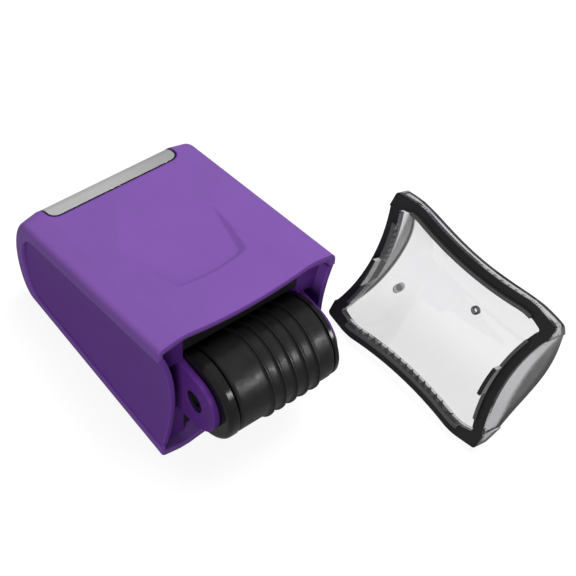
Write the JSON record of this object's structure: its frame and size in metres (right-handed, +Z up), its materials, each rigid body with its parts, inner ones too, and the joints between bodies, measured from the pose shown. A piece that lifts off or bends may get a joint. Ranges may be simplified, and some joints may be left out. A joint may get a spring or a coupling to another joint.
{
  "type": "music staff roller stamp",
  "caption": "Pocket roller stamp that prints a music staff from a self-inked ribbed drum in a wedge-shaped case, with its clear cap standing beside it.",
  "frame": {"origin": "on the table under the middle of the stamp and its cap together", "axes": "+Z up, +X to the right along the drum as seen from the mouth, +Y from the mouth back to the nose"},
  "size_m": [0.1008, 0.1218, 0.0454],
  "materials": {
    "purple_shell": "satin moulded plastic",
    "purple_cover": "satin moulded plastic",
    "purple_frame": "satin moulded plastic",
    "black_trim": "matt",
    "silver_plate": "satin brushed",
    "black_moulding": "matt moulded plastic",
    "black_gloss": "polished moulded plastic",
    "ink_foam": "ink-soaked open foam",
    "cushion_foam": "closed-cell foam",
    "die_rubber": "smooth laser-cut rubber",
    "smoke_clear": "clear smoke-grey polystyrene"
  },
  "bodies": {
    "case": {"housing_shell": "purple_shell", "left_side_cover": "purple_cover", "right_side_cover": "purple_cover", "plate_tray": "black_trim", "index_plate": "silver_plate", "roller_frame": "purple_frame", "ink_cradle": "black_moulding", "cradle_cover": "black_moulding"},
    "drum": {"drum_axle": "black_gloss", "drum_core": "black_moulding", "die_cushion": "cushion_foam", "staff_die": "die_rubber", "left_drum_cap": "black_gloss", "right_drum_cap": "black_gloss"},
    "ink_roller": {"ink_axle": "black_moulding", "ink_core": "black_moulding", "ink_foam": "ink_foam", "left_ink_flange": "black_moulding", "right_ink_flange": "black_moulding"},
    "cap_body": {"cap": "smoke_clear"}
  },
  "joints": [
    {"name": "drum_spin", "type": "hinge", "parent": "case", "child": "drum", "pos_m": [-0.02141, -0.01427, 0.02312], "axis": [1, 0, 0], "continuous": true},
    {"name": "ink_roller_spin", "type": "hinge", "parent": "case", "child": "ink_roller", "pos_m": [-0.02141, 0.00634, 0.02088], "axis": [1, 0, 0], "continuous": true},
    {"name": "cap_lift", "type": "slide", "parent": "case", "child": "cap_body", "axis": [0, 0, 1], "range_m": [0, 0.06]}
  ],
  "couplings": [
    {"joint": "ink_roller_spin", "follows": "drum_spin", "ratio": -1.9256}
  ]
}
